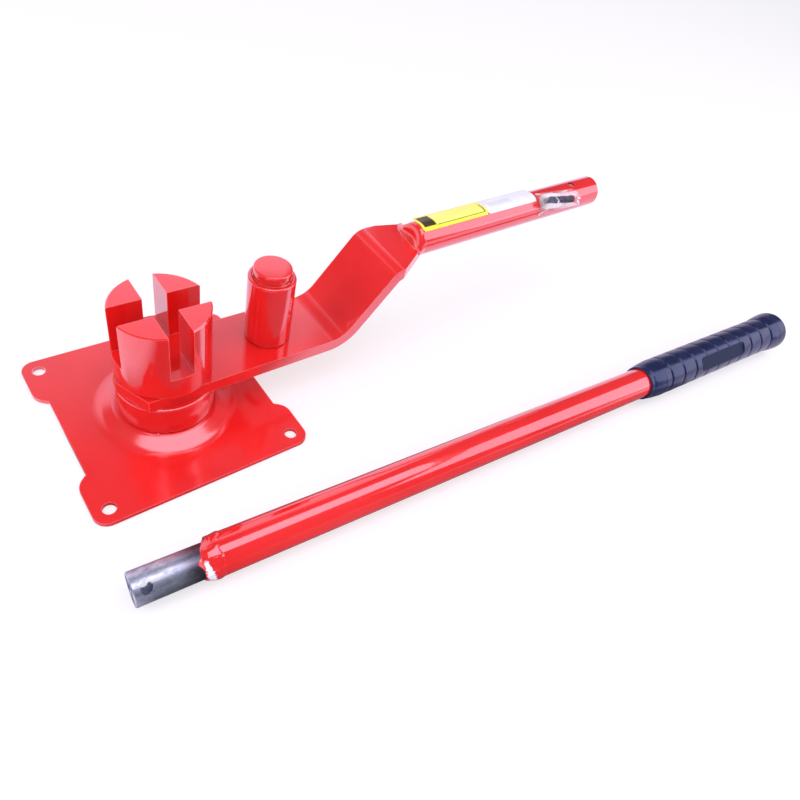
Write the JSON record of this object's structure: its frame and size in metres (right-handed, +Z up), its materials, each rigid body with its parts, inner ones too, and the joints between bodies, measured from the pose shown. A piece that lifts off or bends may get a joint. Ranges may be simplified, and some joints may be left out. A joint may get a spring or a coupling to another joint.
{
  "type": "rebar bender",
  "caption": "Hand bender for reinforcing bar: slotted head on a bolt-down foot, cranked roller lever with a pipe socket, and a loose gripped extension handle",
  "frame": {"origin": "on the lever's turning axis, in the plane of the foot's underside", "axes": "+X along the lever at rest, +Y to the back, +Z up"},
  "size_m": [0.8315, 0.3562, 0.1523],
  "materials": {
    "red_paint": "glossy bright red enamel over plain steel",
    "bare_steel": "bare drawn steel, brushed lengthwise",
    "dark_steel": "dark oiled bolt steel",
    "grip_rubber": "satin moulded black rubber",
    "yellow_film": "plain yellow sticker",
    "white_film": "plain white sticker",
    "clear_film": "thin clear bag film, see-through"
  },
  "bodies": {
    "base": {"foot_plate": "red_paint", "hub_stem": "bare_steel", "hub_stem_weld": "red_paint", "lower_ring": "red_paint", "slotted_head": "red_paint"},
    "lever": {"lever_bar": "red_paint", "roller_pin": "red_paint", "roller_pin_weld": "red_paint", "socket_tube": "red_paint", "socket_weld": "red_paint", "yellow_label": "yellow_film", "white_label": "white_film", "bolt_bag": "clear_film", "locking_bolt": "dark_steel", "locking_nut": "dark_steel"},
    "roller": {"roller_sleeve": "red_paint"},
    "extension_handle": {"handle_spigot": "bare_steel", "spigot_weld": "red_paint", "handle_tube": "red_paint", "handle_grip": "grip_rubber"}
  },
  "joints": [
    {"name": "lever_turn", "type": "hinge", "parent": "base", "child": "lever", "pos_m": [0, 0, 0.0474], "axis": [0, 0, 1], "continuous": true},
    {"name": "roller_spin", "type": "hinge", "parent": "lever", "child": "roller", "pos_m": [0.1, 0, 0.088], "axis": [0, 0, 1], "continuous": true},
    {"name": "handle_lift", "type": "slide", "parent": "base", "child": "extension_handle", "axis": [0, 0, 1], "range_m": [0, 0.3]}
  ]
}
